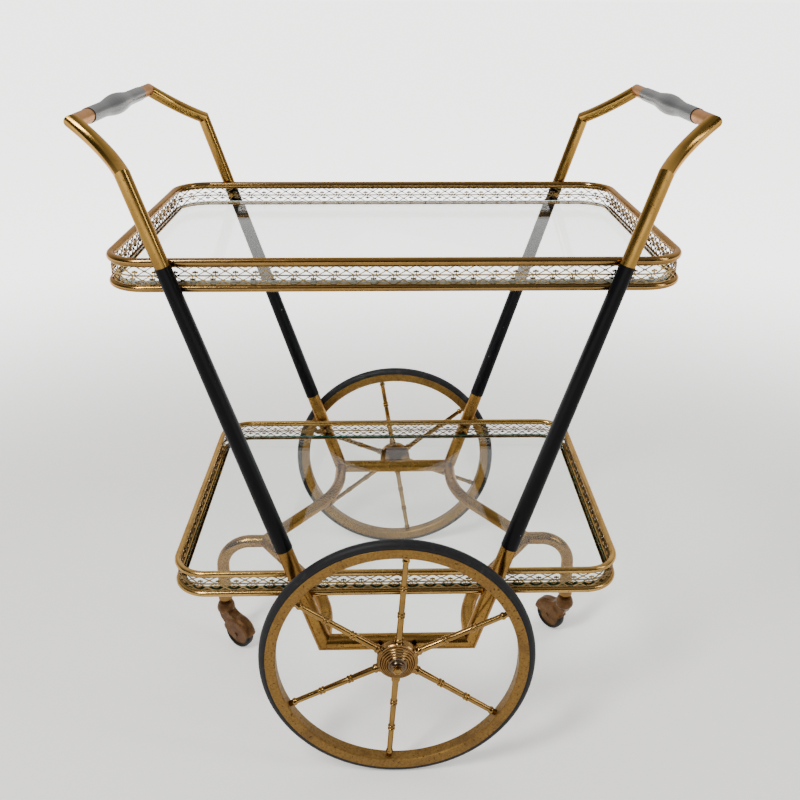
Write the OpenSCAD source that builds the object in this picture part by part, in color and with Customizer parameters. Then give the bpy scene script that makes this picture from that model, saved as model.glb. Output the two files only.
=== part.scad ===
// Two-tier serving trolley: V-shaped tube frames, pierced trays with glass shelves, two large spoked
// wheels and two hooded swivel casters. Millimetres, +Z up, +X along the trays, origin on the floor
// under the middle.

/* [Frame] */
// Distance from the middle plane to each side frame
frame_y = 206; // [206:0.5:210]
// Half the length of a bottom bar, between its mitred corners
foot_x = 86.5; // [80:0.5:95]
// Half the distance between the bends where the handle arms begin
kink_x = 269.5; // [262:0.5:276]
// Height of those bends
kink_z = 720; // [712:1:730]
// Outer radius of the bottom bars and lower legs
low_tube_r = 9.3; // [9:0.1:9.3]
// Outer radius of the upper legs and handle arms
top_tube_r = 8; // [7.9:0.1:8.1]
// Wall thickness of the frame tubes
wall = 1.5; // [1.2:0.1:1.6]
// Height where the lacquered sleeves begin
sleeve_low_z = 289; // [280:1:300]
// Height where the lacquered sleeves end
sleeve_high_z = 624.5; // [622:0.5:630]
// Radius of a sleeve at its upper end
sleeve_top_r = 8.5; // [8.2:0.1:8.6]
// Radius of a sleeve at its lower end
sleeve_low_r = 10; // [9.2:0.1:10.4]

/* [Handles] */
// Half the distance between the two handle bars
grip_x = 329.5; // [324:0.5:334]
// Half the length of a handle bar, between its mitred corners
grip_y = 153.5; // [150:0.5:157]
// Height of the handle bars
grip_z = 763.5; // [763:0.5:770]
// Half the length of a black grip
grip_half = 105; // [95:1:110]
// Radius of a grip at its two ends
grip_r = 8.8; // [8.6:0.1:9.2]
// Radius of a grip at its swollen middle
bulge_r = 12.4; // [10:0.1:12.8]
// How far a handle arm turns along its curve
arm_turn = 37; // [30:0.5:42]

/* [Trays] */
// Half the width of both trays, to the middle of the rails
tray_y = 192.6; // [192:0.1:192.6]
// Half the length of the upper tray, to the middle of the rails
upper_x = 305; // [296:1:312]
// Half the length of the lower tray, to the middle of the rails
lower_x = 262.5; // [255:0.5:270]
// Corner radius of the upper tray
upper_corner = 42.5; // [36:0.5:50]
// Corner radius of the lower tray
lower_corner = 39; // [34:0.5:46]
// Height of the upper tray's bottom rail
upper_low_z = 597; // [596:0.5:598]
// Height of the upper tray's top rail
upper_high_z = 625.5; // [625:0.5:626]
// Height of the lower tray's bottom rail
lower_low_z = 220; // [219:0.5:221]
// Height of the lower tray's top rail
lower_high_z = 246.5; // [246:0.5:248]
// Radius of the upper tray's top rail
wide_rail_r = 4.6; // [4.4:0.1:4.6]
// Radius of the other three rails
rail_r = 3.8; // [3.6:0.1:3.8]
// Thickness of the pierced strip
strip_t = 1.2; // [1:0.1:1.4]
// Length of one motif of the pierced strip
motif = 20; // [18:0.5:22]
// Thickness of the glass
glass_t = 5; // [4:0.5:6]

/* [Wheels] */
// Outer radius of the large wheels, which is also the height of their axles
wheel_r = 160; // [155:1:165]
// Distance from the middle plane to each large wheel
wheel_y = 237; // [236:0.5:240]
// Outer radius of a rim
rim_out_r = 152; // [150:0.1:153]
// Inner radius of a rim
rim_in_r = 140; // [138:0.1:142]
// Width of a rim
rim_w = 15; // [14.6:0.1:16]
// Radius of a hub drum
drum_r = 24; // [22:0.5:25]
// Radius of a wheel axle
axle_r = 5; // [4.5:0.1:5.5]
// Angle of the front wheel's first spoke
front_spoke_a = 4.2; // [0:0.1:60]
// Angle of the back wheel's first spoke
back_spoke_a = -8.6; // [-30:0.1:30]

/* [Casters] */
// Half the distance between the swivel axes
caster_x = 243; // [238:0.5:246]
// Radius of a caster wheel
caster_r = 22; // [20:0.5:22.5]
// Distance from the swivel axis to the caster wheel's axle
trail = 24; // [23:0.5:26]
// Direction the left caster trails towards
left_caster_a = -35; // [-180:1:180]
// Direction the right caster trails towards
right_caster_a = 130; // [-180:1:180]

/* [Hidden] */
$fn = 96;

fit = 0.05;               // clearance around pins, spigots and screws
far = 40;                 // overlength that a cut removes
bar_z = wheel_r;
slope = (kink_x - foot_x) / (kink_z - bar_z);
leg_dir = [slope, 0, 1] / norm([slope, 0, 1]);
foot = [foot_x, frame_y, bar_z];
kink = [kink_x, frame_y, kink_z];
hand = [grip_x, grip_y, grip_z];

// handle arm: an arc in the slanting plane that holds both bends and the handle bar.
// Angles in that plane are taken from the outward and upward line towards the middle plane.
arm_rise = [grip_x - kink_x, grip_z - kink_z];
arm_tilt = atan2(arm_rise[1], arm_rise[0]);
arm_chord = norm(hand - kink);
arm_chord_a = atan2(frame_y - grip_y, norm(arm_rise));
arm_curve_r = arm_chord / (2 * sin(arm_turn / 2));
arm_start = arm_chord_a + arm_turn / 2;
arm_end = arm_chord_a - arm_turn / 2;
function arm_dir(a) = [cos(a) * cos(arm_tilt), -sin(a), cos(a) * sin(arm_tilt)];

// sleeve spigots
spigot_r = 6.4;
spigot_in_r = 5.2;
spigot_len = 28;
collar_len = 6;

// tray screws sit half way up the strip, where the leg crosses it
upper_screw_z = (upper_low_z + rail_r + upper_high_z - wide_rail_r) / 2;
lower_screw_z = (lower_low_z + lower_high_z) / 2;
screw_r = 2;
screw_head_r = 4;

// casters and their arms
neck_r = 8.5;
neck_bend = 40;
branch_turn = 37;
branch_bend = 140;
branch_end_x = caster_x - neck_bend - 20.5;
ferrule_low_z = 66;
ferrule_high_z = 79;
stem_r = 4;
hood_gap = 1.6;
hood_wall = 1.6;
caster_w = 12;
hood_w = caster_w + 6;
hood_r = caster_r + hood_gap + hood_wall;
boss_r = 12.6;
boss_low_z = 48;
boss_high_z = 65.5;

function leg_at(z) = [foot_x + (z - bar_z) * slope, frame_y, z];

// ---------------------------------------------------------------- helpers

// turns +Z to the given direction
module aim(dir) {
    n = dir / norm(dir);
    rotate([0, acos(n[2]), atan2(n[1], n[0])]) children();
}

module rod(p, q, r) {
    translate(p) aim(q - p) cylinder(r = r, h = norm(q - p));
}

module pipe(p, q, r_out, r_in) {
    translate(p) aim(q - p) linear_extrude(norm(q - p)) ring_2d(r_out, r_in);
}

module ring_2d(r_out, r_in) {
    difference() {
        circle(r = r_out);
        circle(r = r_in);
    }
}

// everything on the side of the plane that its normal points to
module half_space(p, normal) {
    size = 1000;
    translate(p) aim(normal) translate([-size / 2, -size / 2, 0]) cube(size);
}

// builds the children, drawn at +X +Y, at one of the four corners
module at_corner(side_x, side_y) {
    mirror([side_x < 0 ? 1 : 0, 0, 0]) mirror([0, side_y < 0 ? 1 : 0, 0]) children();
}

// turns a cylinder to run along Y, with its base on the plane y
module along_y(x, y, z) {
    translate([x, y, z]) rotate([-90, 0, 0]) children();
}

// ---------------------------------------------------------------- frame

// bottom bar with an axle hole and two small holes in its outer wall
module bottom_bar(side_y) {
    color("#a9823c") at_corner(1, side_y) difference() {
        intersection() {
            pipe([-foot_x - far, frame_y, bar_z], [foot_x + far, frame_y, bar_z],
                low_tube_r, low_tube_r - wall);
            half_space(foot, [-1, 0, 0] - leg_dir);
            half_space([-foot_x, frame_y, bar_z], [1, 0, 0] + [leg_dir[0], 0, -leg_dir[2]]);
        }
        along_y(0, frame_y, bar_z) cylinder(r = axle_r + fit, h = far);
        for (x = [-20, 20]) along_y(x, frame_y, bar_z + 4) cylinder(r = 3, h = far);
    }
}

// a tube hanging below the origin, with a spigot that stands up into a sleeve
module spigot_tube(r, long) {
    rotate_extrude() polygon([
        [r - wall, -long], [r, -long], [r, 0], [spigot_r, 0], [spigot_r, spigot_len],
        [spigot_in_r, spigot_len], [spigot_in_r, -collar_len], [r - wall, -collar_len]
    ]);
}

module screw_hole(z) {
    at = leg_at(z);
    along_y(at[0], frame_y - far, z) cylinder(r = screw_r + fit, h = far);
}

module lower_leg(side_x, side_y) {
    top = leg_at(sleeve_low_z);
    color("#b58d43") at_corner(side_x, side_y) difference() {
        intersection() {
            translate(top) aim(leg_dir) spigot_tube(low_tube_r, norm(top - foot) + far);
            half_space(foot, [1, 0, 0] + leg_dir);
        }
        screw_hole(lower_screw_z);
    }
}

module leg_sleeve(side_x, side_y) {
    low = leg_at(sleeve_low_z);
    long = norm(leg_at(sleeve_high_z) - low);
    color("#15151a") at_corner(side_x, side_y) difference() {
        translate(low) aim(leg_dir) cylinder(r1 = sleeve_low_r, r2 = sleeve_top_r, h = long);
        translate(low - far * leg_dir) aim(leg_dir) cylinder(r = spigot_r + fit, h = long + 2 * far);
        screw_hole(upper_screw_z);
    }
}

module upper_leg(side_x, side_y) {
    low = leg_at(sleeve_high_z);
    color("#c39b4e") at_corner(side_x, side_y) difference() {
        intersection() {
            translate(low) aim(-leg_dir) spigot_tube(top_tube_r, norm(kink - low) + far);
            half_space(kink, -leg_dir - arm_dir(arm_start));
        }
        screw_hole(upper_screw_z);
    }
}

// ---------------------------------------------------------------- handles

module handle_arm(side_x, side_y) {
    over = 6;
    color("#c39b4e") at_corner(side_x, side_y) intersection() {
        translate(kink) rotate([0, -arm_tilt, 0]) rotate([180, 0, 0])
            translate([arm_curve_r * sin(arm_start), -arm_curve_r * cos(arm_start), 0])
                rotate([0, 0, 90 + arm_end - over]) rotate_extrude(angle = arm_turn + 2 * over)
                    translate([arm_curve_r, 0]) ring_2d(top_tube_r, top_tube_r - wall);
        half_space(kink, leg_dir + arm_dir(arm_start));
        half_space(hand, [0, 1, 0] - arm_dir(arm_end));
    }
}

rod_half = 145;
rod_r = 4;

module handle_rods() {
    color("#8c8577") for (side = [-1, 1])
        along_y(side * grip_x, -rod_half, grip_z) cylinder(r = rod_r, h = 2 * rod_half);
}

module handle_ferrules() {
    color("#c9a87a") for (side_x = [-1, 1], side_y = [-1, 1]) at_corner(side_x, side_y) difference() {
        intersection() {
            along_y(grip_x, grip_half, grip_z) cylinder(r = top_tube_r, h = far + grip_y - grip_half);
            half_space(hand, [0, -1, 0] + arm_dir(arm_end));
        }
        along_y(grip_x, grip_half - 1, grip_z) cylinder(r = rod_r + fit, h = rod_half + 3 - grip_half);
    }
}

swell_half = 56;
swell_steps = 12;

module handle_grip(side_x) {
    swell = [for (i = [0 : swell_steps])
        let (t = -1 + 2 * i / swell_steps)
        [grip_r + (bulge_r - grip_r) * (1 + cos(180 * t)) / 2, t * swell_half]];
    outline = concat([[rod_r + fit, -grip_half], [grip_r, -grip_half]], swell,
        [[grip_r, grip_half], [rod_r + fit, grip_half]]);
    color("#1a1a1e") along_y(side_x * grip_x, 0, grip_z) rotate_extrude() polygon(outline);
}

// ---------------------------------------------------------------- trays

// one closed rail of round tube, with a small vent hole under each end
module rail(half_x, corner, z, r) {
    long = half_x - corner;
    wide = tray_y - corner;
    bore = r - 1;
    color("#b9924a") difference() {
        translate([0, 0, z]) union() {
            for (side = [-1, 1]) {
                pipe([-long, side * tray_y, 0], [long, side * tray_y, 0], r, bore);
                pipe([side * half_x, -wide, 0], [side * half_x, wide, 0], r, bore);
            }
            for (turn = [0 : 3]) {
                quarter = [[1, 1], [-1, 1], [-1, -1], [1, -1]][turn];
                translate([quarter[0] * long, quarter[1] * wide, 0]) rotate([0, 0, 90 * turn])
                    rotate_extrude(angle = 90) translate([corner, 0]) ring_2d(r, bore);
            }
        }
        for (side = [-1, 1]) translate([side * half_x, 0, z - 2 * r]) cylinder(r = 1, h = 2 * r);
    }
}

// lozenge windows in two mirrored rows, left out where a screw passes
module strip_2d(half, high, keep_out) {
    count = floor(2 * half / motif);
    row = high / 4;
    difference() {
        translate([-half, -high / 2]) square([2 * half, high]);
        for (i = [0 : count - 1]) {
            x = (i - (count - 1) / 2) * motif;
            if (min([for (k = keep_out) abs(x - k)]) > motif / 2)
                for (side = [-1, 1]) translate([x, side * row])
                    polygon([[-motif * 0.4, 0], [0, -row * 0.62], [motif * 0.4, 0], [0, row * 0.62]]);
        }
    }
}

module gallery(half_x, corner, low_z, high_z, screw_x) {
    long = half_x - corner;
    wide = tray_y - corner;
    high = high_z - low_z;
    mid_z = (high_z + low_z) / 2;
    color("#ad8440") difference() {
        union() {
            for (side = [-1, 1]) {
                translate([0, side * tray_y + strip_t / 2, mid_z]) rotate([90, 0, 0])
                    linear_extrude(strip_t) strip_2d(long, high, [-screw_x, screw_x]);
                translate([side * half_x - strip_t / 2, 0, mid_z]) rotate([90, 0, 90])
                    linear_extrude(strip_t) strip_2d(wide, high, [1000]);
            }
            for (turn = [0 : 3]) {
                quarter = [[1, 1], [-1, 1], [-1, -1], [1, -1]][turn];
                translate([quarter[0] * long, quarter[1] * wide, low_z]) rotate([0, 0, 90 * turn])
                    rotate_extrude(angle = 90) translate([corner - strip_t / 2, 0]) square([strip_t, high]);
            }
        }
        for (x = [-screw_x, screw_x]) along_y(x, -tray_y - far, mid_z)
            cylinder(r = screw_r + fit, h = 2 * (tray_y + far));
    }
}

glass_over = 2;           // height of the glass above the middle of the bottom rail
ledge_out = 3.72;         // where a ledge meets the bottom rail, in from the middle of the rail
ledge_in = 9;
ledge_t = 1.2;

// a rounded rectangle that lies a distance inside the middle of a tray's rails
module tray_plate(half_x, corner, inset, z, thick) {
    long = half_x - corner;
    wide = tray_y - corner;
    r = corner - inset;
    translate([0, 0, z]) linear_extrude(thick) union() {
        square([2 * long, 2 * (wide + r)], center = true);
        square([2 * (long + r), 2 * wide], center = true);
        for (x = [-long, long], y = [-wide, wide]) translate([x, y]) circle(r = r);
    }
}

// narrow ledge brazed inside a bottom rail, on which the glass lies
module ledge(half_x, corner, low_z) {
    z = low_z + glass_over - ledge_t;
    color("#a67f3d") difference() {
        tray_plate(half_x, corner, ledge_out, z, ledge_t);
        tray_plate(half_x, corner, ledge_in, z - 1, ledge_t + 2);
    }
}

// pan-head screw with a shoulder that fills the gap between the strip and the leg
module tray_screw(z, leg_r) {
    at = leg_at(z);
    inner = tray_y - strip_t / 2;
    difference() {
        union() {
            along_y(at[0], inner - 2, z) cylinder(r1 = screw_head_r - 1.2, r2 = screw_head_r, h = 2);
            along_y(at[0], inner, z) cylinder(r = screw_r, h = frame_y - inner);
            along_y(at[0], inner + strip_t, z) cylinder(r = screw_r + 1.6, h = frame_y - inner - leg_r);
        }
        difference() {
            rod(at - far * leg_dir, at + far * leg_dir, leg_r + fit);
            along_y(at[0], 0, z) cylinder(r = screw_r, h = frame_y);
        }
    }
}

module tray_screws() {
    span = sleeve_high_z - sleeve_low_z;
    upper_r = sleeve_top_r + (sleeve_low_r - sleeve_top_r) * (sleeve_high_z - upper_screw_z + 10) / span;
    color("#c8a860") for (side_x = [-1, 1], side_y = [-1, 1]) at_corner(side_x, side_y) {
        tray_screw(upper_screw_z, upper_r);
        tray_screw(lower_screw_z, low_tube_r);
    }
}

module glass(half_x, corner, low_z, top_r) {
    color("#bfe0d2", 0.4) tray_plate(half_x, corner, top_r + 0.9, low_z + glass_over, glass_t);
}

// ---------------------------------------------------------------- caster arms

branch_mid = [foot_x + branch_bend * (1 - cos(branch_turn)), 0, 0];
branch_dir = [sin(branch_turn), -cos(branch_turn), 0];
branch_last_y = (branch_end_x - branch_mid[0]) / tan(branch_turn);
branch_first_y = branch_last_y + branch_bend * sin(branch_turn);
branch_join = [branch_mid[0], branch_last_y, bar_z];
branch_end = [branch_end_x, 0, bar_z];

// a straight tube up from the origin, with an inner sleeve that reaches down into the bend it is brazed to
module sleeved_tube(long) {
    bore = neck_r - wall;
    rotate_extrude() polygon([
        [neck_r, 0], [neck_r, long], [bore, long], [bore, 4], [bore - 1, 4],
        [bore - 1, -4], [bore + 0.5, -4], [bore + 0.5, 0]
    ]);
}

module branch_tube() {
    past = 20;
    translate([foot_x, branch_first_y, bar_z]) rotate([-90, 0, 0]) sleeved_tube(frame_y - branch_first_y);
    translate([foot_x + branch_bend, branch_first_y, bar_z]) rotate([0, 0, 180])
        rotate_extrude(angle = branch_turn) translate([branch_bend, 0]) ring_2d(neck_r, neck_r - wall);
    translate(branch_join) rotate([0, 0, branch_turn]) rotate([90, 0, 0])
        sleeved_tube(norm(branch_end - branch_join) + past);
}

module caster_branch(side_x, side_y) {
    color("#9b7638") at_corner(side_x, side_y) difference() {
        intersection() {
            branch_tube();
            half_space(branch_end, [0, 1, 0]);
            half_space(branch_end, -[1, 0, 0] - branch_dir);
        }
        rod([0, frame_y, bar_z], [2 * foot_x, frame_y, bar_z], low_tube_r);
        rod(foot - far * leg_dir, foot + far * leg_dir, low_tube_r);
    }
}

module caster_neck(side_x) {
    bend_x = caster_x - neck_bend;
    in_r = neck_r - wall;
    color("#9b7638") at_corner(side_x, 1) difference() {
        union() {
            pipe(branch_end - [20, 0, 0], [bend_x, 0, bar_z], neck_r, in_r);
            translate([bend_x, 0, bar_z - neck_bend]) rotate([90, 0, 0])
                rotate_extrude(angle = 90) translate([neck_bend, 0]) ring_2d(neck_r, in_r);
            pipe([caster_x, 0, ferrule_high_z], [caster_x, 0, bar_z - neck_bend], neck_r, in_r);
        }
        for (side_y = [-1, 1]) mirror([0, side_y < 0 ? 1 : 0, 0])
            half_space(branch_end, -[1, 0, 0] - branch_dir);
    }
}

module caster_ferrule(side_x) {
    r = 9.8;
    color("#b48a3e") translate([side_x * caster_x, 0, 0]) rotate_extrude() polygon([
        [stem_r + fit, ferrule_low_z], [r - 2, ferrule_low_z], [r, ferrule_low_z + 4],
        [r, ferrule_high_z], [0, ferrule_high_z], [0, ferrule_high_z - 2], [stem_r + fit, ferrule_high_z - 2]
    ]);
}

// ---------------------------------------------------------------- large wheels

// stub axles that start inside the bore of the bottom bars
module wheel_axles() {
    start = frame_y - 4;
    color("#8a8478") for (side_y = [-1, 1]) at_corner(1, side_y)
        along_y(0, start, bar_z) cylinder(r = axle_r, h = wheel_y + 9 - start);
}

// turns a profile in (radius, distance outwards along the axle) about a wheel's axle
module turned(side_y) {
    at_corner(1, side_y) along_y(0, wheel_y, wheel_r) rotate_extrude() children();
}

tyre_r = 6.8;
tyre_mid_r = wheel_r - tyre_r;

module tyre(side_y) {
    color("#1d1c1b") turned(side_y) translate([tyre_mid_r, 0]) circle(r = tyre_r);
}

module rim(side_y) {
    half = rim_w / 2;
    edge = 1.2;
    color("#b98a35") turned(side_y) difference() {
        polygon([
            [rim_in_r, -half + edge], [rim_in_r + edge, -half], [rim_out_r - 0.2, -half],
            [rim_out_r, -half + 0.2], [rim_out_r, half - 0.2], [rim_out_r - 0.2, half],
            [rim_in_r + edge, half], [rim_in_r, half - edge]
        ]);
        translate([tyre_mid_r, 0]) circle(r = tyre_r + fit);
    }
}

ring_r = [61, 97.7];      // where the double rings of a spoke stand
spoke_thick = 3.8;
spoke_thin = 3.2;

function spoke_r(d) = spoke_thick + (spoke_thin - spoke_thick) * (d - drum_r) / (rim_in_r - drum_r);
function bead(d, half, rise) = [
    [spoke_r(d - half), d - half], [spoke_r(d) + rise, d - half / 2],
    [spoke_r(d) + rise, d + half / 2], [spoke_r(d + half), d + half]
];

module spoke() {
    outline = concat(
        [[0, drum_r - 3], [5, drum_r - 3], [5, drum_r + 2.5], [spoke_r(drum_r + 4), drum_r + 4]],
        bead(ring_r[0] - 3, 2.4, 1.2), bead(ring_r[0] + 3, 2.4, 1.2),
        bead(ring_r[1] - 3, 2.4, 1.1), bead(ring_r[1] + 3, 2.4, 1.1),
        bead(rim_in_r - 5, 3, 1.3), [[spoke_thin, rim_in_r + 3], [0, rim_in_r + 3]]
    );
    rotate_extrude() polygon(outline);
}

module spokes(side_y, first_a) {
    color("#b78e44") translate([0, side_y * wheel_y, wheel_r]) intersection() {
        for (i = [0 : 5]) rotate([0, first_a + 60 * i, 0]) spoke();
        rotate([90, 0, 0]) linear_extrude(40, center = true) ring_2d(rim_in_r, drum_r);
    }
}

module hub(side_y) {
    boss_back = frame_y + low_tube_r + 1.5 - wheel_y;
    color("#a87f3a") turned(side_y) polygon([
        [axle_r + fit, boss_back], [11, boss_back], [11, -6], [drum_r - 1, -6], [drum_r, -5],
        [drum_r, 4.5], [drum_r - 0.5, 5], [20.4, 5], [20.4, 6.5], [18, 6.5], [18, 8], [15.5, 8], [15.5, 9.5],
        [13, 9.5], [13, 11], [axle_r + fit, 11]
    ]);
}

module hub_cap(side_y) {
    color("#6f6350") turned(side_y) polygon([
        [0, 11], [11.5, 11], [11.3, 13], [10.4, 15], [8.6, 16.6], [5, 17.4], [5, 20], [3.6, 21.6], [0, 22]
    ]);
}

// ---------------------------------------------------------------- casters

// moves children drawn with the swivel axis on Z and the trail along +X to one caster
module at_caster(side_x) {
    translate([side_x * caster_x, 0, 0])
        rotate([0, 0, side_x < 0 ? left_caster_a : right_caster_a]) children();
}

// a disc across the caster, centred on its axle
module cross_disc(r, w) {
    translate([trail, 0, caster_r]) rotate([90, 0, 0]) cylinder(r = r, h = w, center = true);
}

axle_pin_r = 2;
disc_r = caster_r - 5;

// domed boss with a rounded skirt, and the stem that turns in the ferrule
module fork_boss() {
    top_z = ferrule_high_z - 3;
    rotate_extrude() polygon([
        [0, boss_low_z], [boss_r - 3, boss_low_z], [boss_r - 0.6, boss_low_z + 3], [boss_r, boss_low_z + 6.5],
        [boss_r - 0.8, boss_low_z + 11], [boss_r - 2.8, boss_low_z + 15.5], [boss_r - 5.6, boss_high_z - 1.2],
        [stem_r + 0.6, boss_high_z], [stem_r, boss_high_z], [stem_r, top_z], [0, top_z]
    ]);
}

// cover over the wheel with rounded shoulders, cut to the outline of its cheeks
module fork_cover() {
    half = hood_w / 2;
    cheeks = [[trail - hood_r - 1, caster_r + 9], [trail - 10, caster_r - 5], [trail - 2, caster_r - 7],
        [trail + 3, caster_r - 1], [trail + 10, caster_r + 1], [trail + hood_r + 1, caster_r + 4],
        [trail + hood_r + 1, 60], [trail - hood_r - 1, 60]];
    intersection() {
        translate([trail, 0, caster_r]) rotate([90, 0, 0]) rotate_extrude() polygon([
            [0, -half], [hood_r - 5, -half], [hood_r - 1.6, -half + 1.2], [hood_r, -half + 4.5],
            [hood_r, half - 4.5], [hood_r - 1.6, half - 1.2], [hood_r - 5, half], [0, half]
        ]);
        rotate([90, 0, 0]) linear_extrude(hood_w + 2, center = true) polygon(cheeks);
    }
}

// web that joins the boss to the top of the cover
module fork_web() {
    rotate([90, 0, 0]) linear_extrude(hood_w - 3, center = true) polygon([
        [-8, boss_low_z + 1], [-4, caster_r + 17], [4, caster_r + 9], [trail - 2, caster_r + 10],
        [trail + 6, caster_r + hood_r - 2.5], [trail - 6, caster_r + hood_r + 0.5],
        [12, caster_r + hood_r + 4], [10, boss_low_z + 6]
    ]);
}

module fork(side_x) {
    color("#4a2f22") at_caster(side_x) difference() {
        union() {
            fork_boss();
            fork_cover();
            fork_web();
        }
        cross_disc(hood_r - hood_wall, hood_w - 2 * hood_wall);
        cross_disc(axle_pin_r + fit / 2, 2 * hood_w);
    }
}

module caster_axle(side_x) {
    color("#5a4a3a") at_caster(side_x) {
        cross_disc(axle_pin_r, hood_w);
        for (side = [-1, 1]) translate([0, side * (hood_w / 2 + 0.6), 0]) cross_disc(3.4, 1.2);
    }
}

module caster_wheel(side_x) {
    color("#9a7a3a") at_caster(side_x) difference() {
        union() {
            cross_disc(disc_r, caster_w - 3);
            cross_disc(5, caster_w + 1.4);
        }
        cross_disc(axle_pin_r + fit, 2 * hood_w);
    }
}

module caster_tyre(side_x) {
    half = caster_w / 2;
    color("#191817") at_caster(side_x) translate([trail, 0, caster_r]) rotate([90, 0, 0])
        rotate_extrude() polygon([
            [disc_r, -half + 0.5], [disc_r + 1.5, -half], [caster_r - 1.4, -half],
            [caster_r - 0.4, -half + 1.6], [caster_r, -half + 3], [caster_r, half - 3],
            [caster_r - 0.4, half - 1.6], [caster_r - 1.4, half], [disc_r + 1.5, half], [disc_r, half - 0.5]
        ]);
}

// ---------------------------------------------------------------- assembly

bottom_bar(-1);  // bottom_bar_front
bottom_bar(1);  // bottom_bar_back
lower_leg(-1, -1);  // lower_leg_front_left
lower_leg(1, -1);  // lower_leg_front_right
lower_leg(-1, 1);  // lower_leg_back_left
lower_leg(1, 1);  // lower_leg_back_right
leg_sleeve(-1, -1);  // leg_sleeve_front_left
leg_sleeve(1, -1);  // leg_sleeve_front_right
leg_sleeve(-1, 1);  // leg_sleeve_back_left
leg_sleeve(1, 1);  // leg_sleeve_back_right
upper_leg(-1, -1);  // upper_leg_front_left
upper_leg(1, -1);  // upper_leg_front_right
upper_leg(-1, 1);  // upper_leg_back_left
upper_leg(1, 1);  // upper_leg_back_right
handle_arm(-1, -1);  // handle_arm_front_left
handle_arm(1, -1);  // handle_arm_front_right
handle_arm(-1, 1);  // handle_arm_back_left
handle_arm(1, 1);  // handle_arm_back_right
handle_rods();
handle_ferrules();
handle_grip(-1);  // handle_grip_left
handle_grip(1);  // handle_grip_right
rail(upper_x, upper_corner, upper_high_z, wide_rail_r);  // upper_top_rail
rail(upper_x, upper_corner, upper_low_z, rail_r);  // upper_bottom_rail
gallery(upper_x, upper_corner, upper_low_z + rail_r, upper_high_z - wide_rail_r,  // upper_gallery
        leg_at(upper_screw_z)[0]);
rail(lower_x, lower_corner, lower_high_z, rail_r);  // lower_top_rail
rail(lower_x, lower_corner, lower_low_z, rail_r);  // lower_bottom_rail
gallery(lower_x, lower_corner, lower_low_z + rail_r, lower_high_z - rail_r,  // lower_gallery
        leg_at(lower_screw_z)[0]);
ledge(upper_x, upper_corner, upper_low_z);  // upper_ledge
ledge(lower_x, lower_corner, lower_low_z);  // lower_ledge
tray_screws();
caster_branch(-1, -1);  // caster_branch_front_left
caster_branch(1, -1);  // caster_branch_front_right
caster_branch(-1, 1);  // caster_branch_back_left
caster_branch(1, 1);  // caster_branch_back_right
caster_neck(-1);  // caster_neck_left
caster_neck(1);  // caster_neck_right
caster_ferrule(-1);  // caster_ferrule_left
caster_ferrule(1);  // caster_ferrule_right
wheel_axles();
tyre(-1);  // front_tyre
rim(-1);  // front_rim
spokes(-1, front_spoke_a);  // front_spokes
hub(-1);  // front_hub
hub_cap(-1);  // front_hub_cap
tyre(1);  // back_tyre
rim(1);  // back_rim
spokes(1, back_spoke_a);  // back_spokes
hub(1);  // back_hub
hub_cap(1);  // back_hub_cap
fork(-1);  // left_fork
caster_axle(-1);  // left_caster_axle
caster_wheel(-1);  // left_caster_wheel
caster_tyre(-1);  // left_caster_tyre
fork(1);  // right_fork
caster_axle(1);  // right_caster_axle
caster_wheel(1);  // right_caster_wheel
caster_tyre(1);  // right_caster_tyre
glass(upper_x, upper_corner, upper_low_z, wide_rail_r);  // upper_glass
glass(lower_x, lower_corner, lower_low_z, rail_r);  // lower_glass
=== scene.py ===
import math

import bpy
from mathutils import Matrix, Vector


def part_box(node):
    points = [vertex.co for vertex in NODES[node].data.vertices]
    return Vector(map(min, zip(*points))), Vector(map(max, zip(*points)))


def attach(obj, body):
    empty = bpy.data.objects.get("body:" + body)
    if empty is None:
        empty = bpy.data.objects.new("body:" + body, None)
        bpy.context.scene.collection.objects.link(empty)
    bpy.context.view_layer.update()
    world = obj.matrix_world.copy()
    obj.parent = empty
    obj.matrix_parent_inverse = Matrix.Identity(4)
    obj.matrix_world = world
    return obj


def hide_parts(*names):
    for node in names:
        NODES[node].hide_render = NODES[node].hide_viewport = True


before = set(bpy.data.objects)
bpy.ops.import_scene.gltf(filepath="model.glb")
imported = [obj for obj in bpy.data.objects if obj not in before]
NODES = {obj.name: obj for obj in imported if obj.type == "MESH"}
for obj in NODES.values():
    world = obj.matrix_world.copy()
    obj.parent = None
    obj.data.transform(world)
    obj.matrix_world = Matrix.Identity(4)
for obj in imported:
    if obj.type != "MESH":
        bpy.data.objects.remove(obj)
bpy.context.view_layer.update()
MM = 0.001
QUARTER = math.pi / 2


# ---------------------------------------------------------------- camera

CAMERA_PLACE = (-0.00603, -1.09787, 0.89651)
CAMERA_RIGHT = (0.999676, -0.025126, 0.004080)
CAMERA_UP = (0.004114, 0.317636, 0.948204)
SENSOR_MM = 36
LENS_MM = 40.95
CAMERA_SHIFT = (-0.0169, -0.1361)
CLIP = (0.01, 200)


def add_camera():
    """The camera where the photo's camera stood, with the lens and shift solved from the photo."""
    right = Vector(CAMERA_RIGHT)
    up = Vector(CAMERA_UP)
    data = bpy.data.cameras.new("camera")
    data.sensor_width = SENSOR_MM
    data.lens = LENS_MM
    data.shift_x, data.shift_y = CAMERA_SHIFT
    data.clip_start, data.clip_end = CLIP
    camera = bpy.data.objects.new("camera", data)
    turn = Matrix((right, up, right.cross(up))).transposed().to_4x4()
    camera.matrix_world = Matrix.Translation(CAMERA_PLACE) @ turn
    bpy.context.scene.collection.objects.link(camera)
    bpy.context.scene.camera = camera


# ---------------------------------------------------------------- shader helpers

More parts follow.
